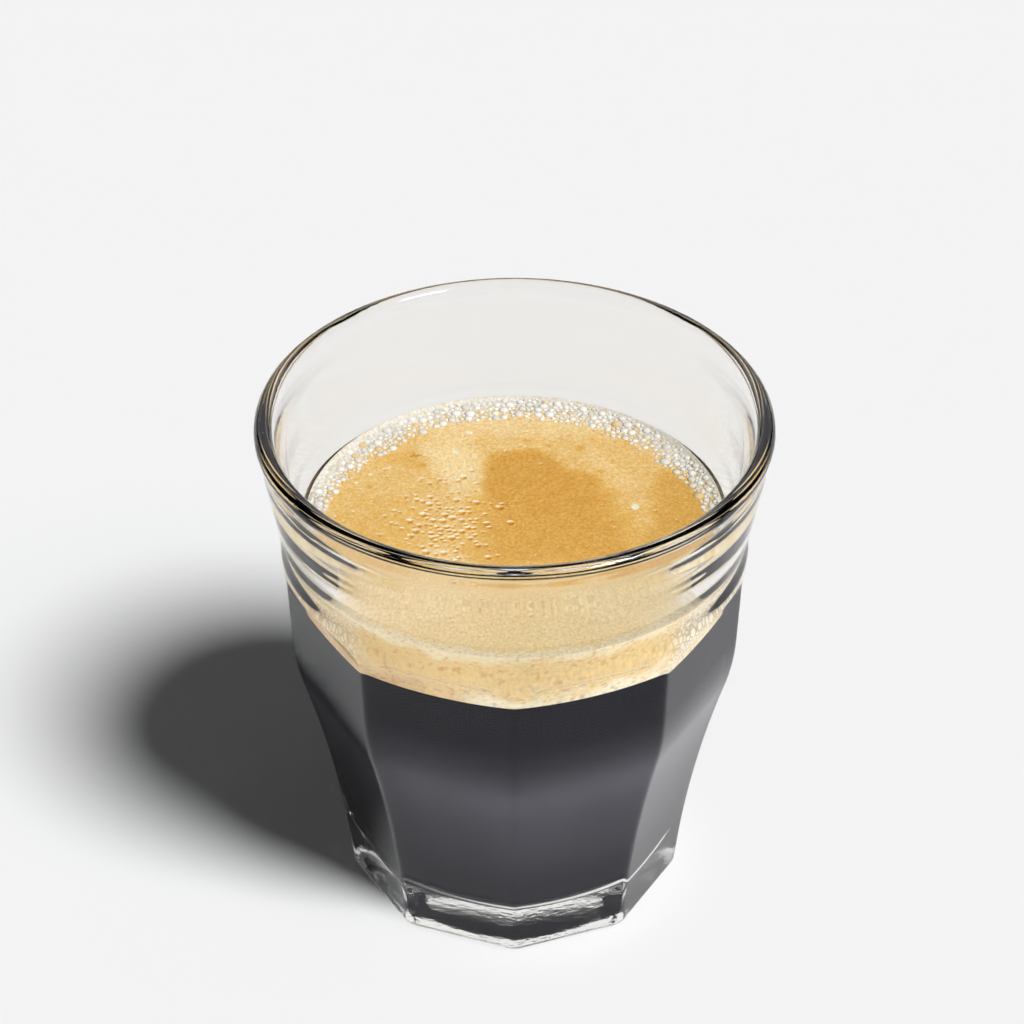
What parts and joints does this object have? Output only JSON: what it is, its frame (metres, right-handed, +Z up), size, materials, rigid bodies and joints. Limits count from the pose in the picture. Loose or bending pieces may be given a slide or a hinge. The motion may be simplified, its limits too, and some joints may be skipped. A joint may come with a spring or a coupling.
{
  "type": "lungo in a glass tumbler",
  "caption": "Long black coffee with a thick golden crema in a clear faceted pressed-glass tumbler with a flared round rim.",
  "frame": {"origin": "centre of the foot, on the table plane", "axes": "+Z up along the tumbler's axis; one facet edge faces -Y"},
  "size_m": [0.077, 0.077, 0.083],
  "materials": {
    "clear_glass": "clear polished pressed soda-lime glass",
    "black_coffee": "nearly black liquid, glossy",
    "crema_foam": "golden fine foam, satin, with pale bubbles at the wall"
  },
  "bodies": {
    "root": {"glass": "clear_glass", "coffee": "black_coffee", "crema": "crema_foam"}
  },
  "joints": []
}
